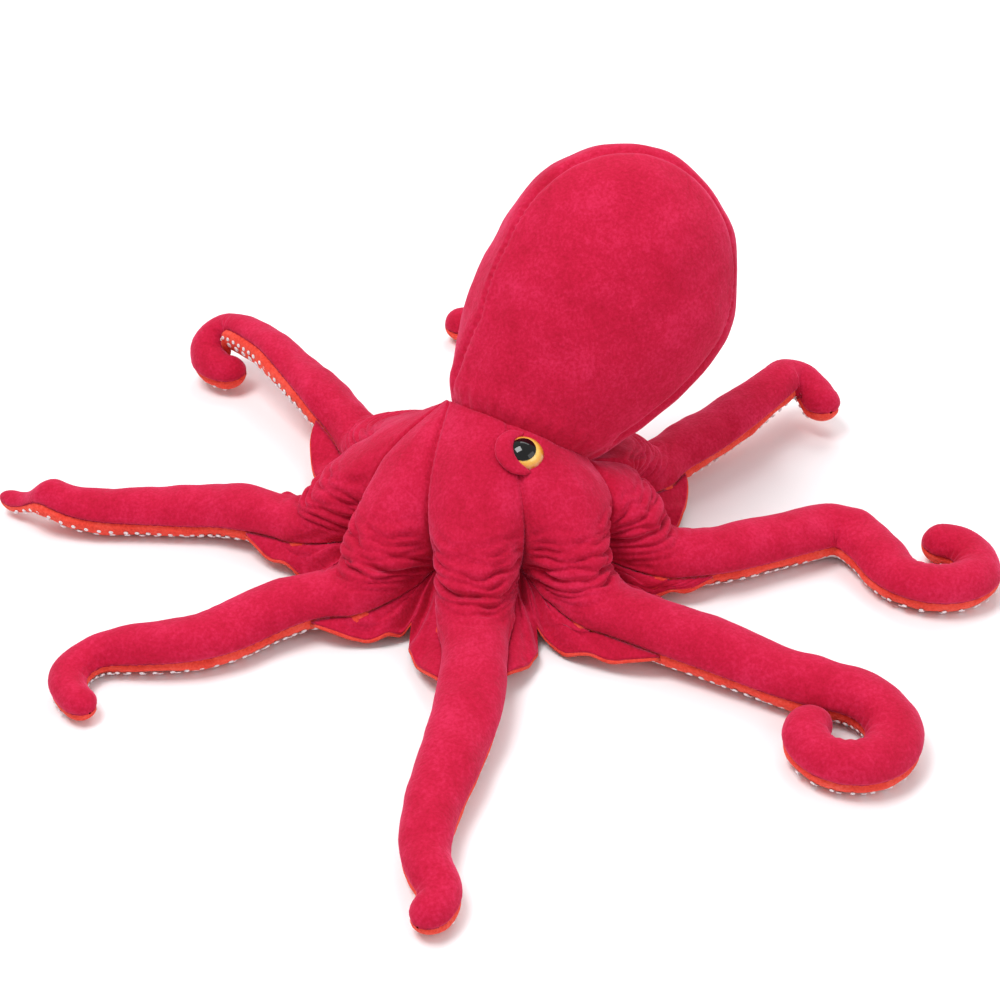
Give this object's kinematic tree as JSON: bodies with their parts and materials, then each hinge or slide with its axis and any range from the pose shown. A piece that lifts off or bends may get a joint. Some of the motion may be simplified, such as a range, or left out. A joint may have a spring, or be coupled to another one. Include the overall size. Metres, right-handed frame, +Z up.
{
  "type": "plush octopus toy",
  "caption": "Stuffed octopus toy with a leaning mantle bag, a seamed head, curling sewn arms with webs between them, coral undersides with suckers, and domed eyes.",
  "frame": {"origin": "on the floor under the middle of the head, at the middle of the base panel's underside", "axes": "+Z up, -Y the toy's front, +X its left"},
  "size_m": [0.5073, 0.5039, 0.2015],
  "materials": {
    "crimson_plush": "short velvet pile",
    "coral_plush": "short smooth pile",
    "stuffing": "loose fibre",
    "amber_plastic": "glossy",
    "black_plastic": "glossy",
    "clear_plastic": "moulded"
  },
  "bodies": {
    "head": {"base_panel": "coral_plush", "head_stuffing": "stuffing", "head_gore_left_1": "crimson_plush", "head_gore_left_2": "crimson_plush", "head_gore_left_3": "crimson_plush", "head_gore_left_4": "crimson_plush", "head_gore_right_4": "crimson_plush", "head_gore_right_3": "crimson_plush", "head_gore_right_2": "crimson_plush", "head_gore_right_1": "crimson_plush", "web_after_left_1": "coral_plush", "web_after_left_2": "coral_plush", "web_after_left_3": "coral_plush", "web_after_left_4": "coral_plush", "web_after_right_4": "coral_plush", "web_after_right_3": "coral_plush", "web_after_right_2": "coral_plush", "web_after_right_1": "coral_plush", "eye_iris_left": "amber_plastic", "eye_pupil_left": "black_plastic", "eye_washer_left": "clear_plastic", "eyelid_left": "crimson_plush", "eye_iris_right": "amber_plastic", "eye_pupil_right": "black_plastic", "eye_washer_right": "clear_plastic", "eyelid_right": "crimson_plush"},
    "arm_left_1": {"arm_left_1_upper": "crimson_plush", "arm_left_1_under": "coral_plush", "arm_left_1_stuffing": "stuffing"},
    "arm_left_2": {"arm_left_2_upper": "crimson_plush", "arm_left_2_under": "coral_plush", "arm_left_2_stuffing": "stuffing"},
    "arm_left_3": {"arm_left_3_upper": "crimson_plush", "arm_left_3_under": "coral_plush", "arm_left_3_stuffing": "stuffing"},
    "arm_left_4": {"arm_left_4_upper": "crimson_plush", "arm_left_4_under": "coral_plush", "arm_left_4_stuffing": "stuffing"},
    "arm_right_4": {"arm_right_4_upper": "crimson_plush", "arm_right_4_under": "coral_plush", "arm_right_4_stuffing": "stuffing"},
    "arm_right_3": {"arm_right_3_upper": "crimson_plush", "arm_right_3_under": "coral_plush", "arm_right_3_stuffing": "stuffing"},
    "arm_right_2": {"arm_right_2_upper": "crimson_plush", "arm_right_2_under": "coral_plush", "arm_right_2_stuffing": "stuffing"},
    "arm_right_1": {"arm_right_1_upper": "crimson_plush", "arm_right_1_under": "coral_plush", "arm_right_1_stuffing": "stuffing"},
    "mantle": {"mantle_side_left": "crimson_plush", "mantle_side_right": "crimson_plush", "mantle_gusset": "crimson_plush", "mantle_stuffing": "stuffing"}
  },
  "joints": [
    {"name": "arm_left_1_bend", "type": "hinge", "parent": "head", "child": "arm_left_1", "pos_m": [0.048, -0.08314, 0.0184], "axis": [-0.9877, 0.1564, 0], "range_deg": [-20, 40], "stiffness_Nm_per_rad": 0.3},
    {"name": "arm_left_2_bend", "type": "hinge", "parent": "head", "child": "arm_left_2", "pos_m": [0.09077, -0.03125, 0.0184], "axis": [-0.2079, -0.9781, 0], "range_deg": [-20, 40], "stiffness_Nm_per_rad": 0.3},
    {"name": "arm_left_3_bend", "type": "hinge", "parent": "head", "child": "arm_left_3", "pos_m": [0.09021, 0.03283, 0.0184], "axis": [0.6561, -0.7547, 0], "range_deg": [-20, 40], "stiffness_Nm_per_rad": 0.3},
    {"name": "arm_left_4_bend", "type": "hinge", "parent": "head", "child": "arm_left_4", "pos_m": [0.05777, 0.07667, 0.0184], "axis": [0.9397, -0.342, 0], "range_deg": [-20, 35], "stiffness_Nm_per_rad": 0.3},
    {"name": "arm_right_4_bend", "type": "hinge", "parent": "head", "child": "arm_right_4", "pos_m": [-0.01832, 0.09424, 0.0184], "axis": [0.866, 0.5, 0], "range_deg": [-20, 25], "stiffness_Nm_per_rad": 0.3},
    {"name": "arm_right_3_bend", "type": "hinge", "parent": "head", "child": "arm_right_3", "pos_m": [-0.09021, 0.03283, 0.0184], "axis": [0.2079, 0.9781, 0], "range_deg": [-20, 20], "stiffness_Nm_per_rad": 0.3},
    {"name": "arm_right_2_bend", "type": "hinge", "parent": "head", "child": "arm_right_2", "pos_m": [-0.08396, -0.04654, 0.0184], "axis": [-0.3907, 0.9205, 0], "range_deg": [-20, 35], "stiffness_Nm_per_rad": 0.3},
    {"name": "arm_right_1_bend", "type": "hinge", "parent": "head", "child": "arm_right_1", "pos_m": [-0.01832, -0.09424, 0.0184], "axis": [-0.809, 0.5878, 0], "range_deg": [-20, 40], "stiffness_Nm_per_rad": 0.3},
    {"name": "mantle_nod", "type": "hinge", "parent": "head", "child": "mantle", "pos_m": [-0.00619, 0.02801, 0.09207], "axis": [0.7873, 0.6166, 0], "range_deg": [-10, 32], "stiffness_Nm_per_rad": 2}
  ]
}
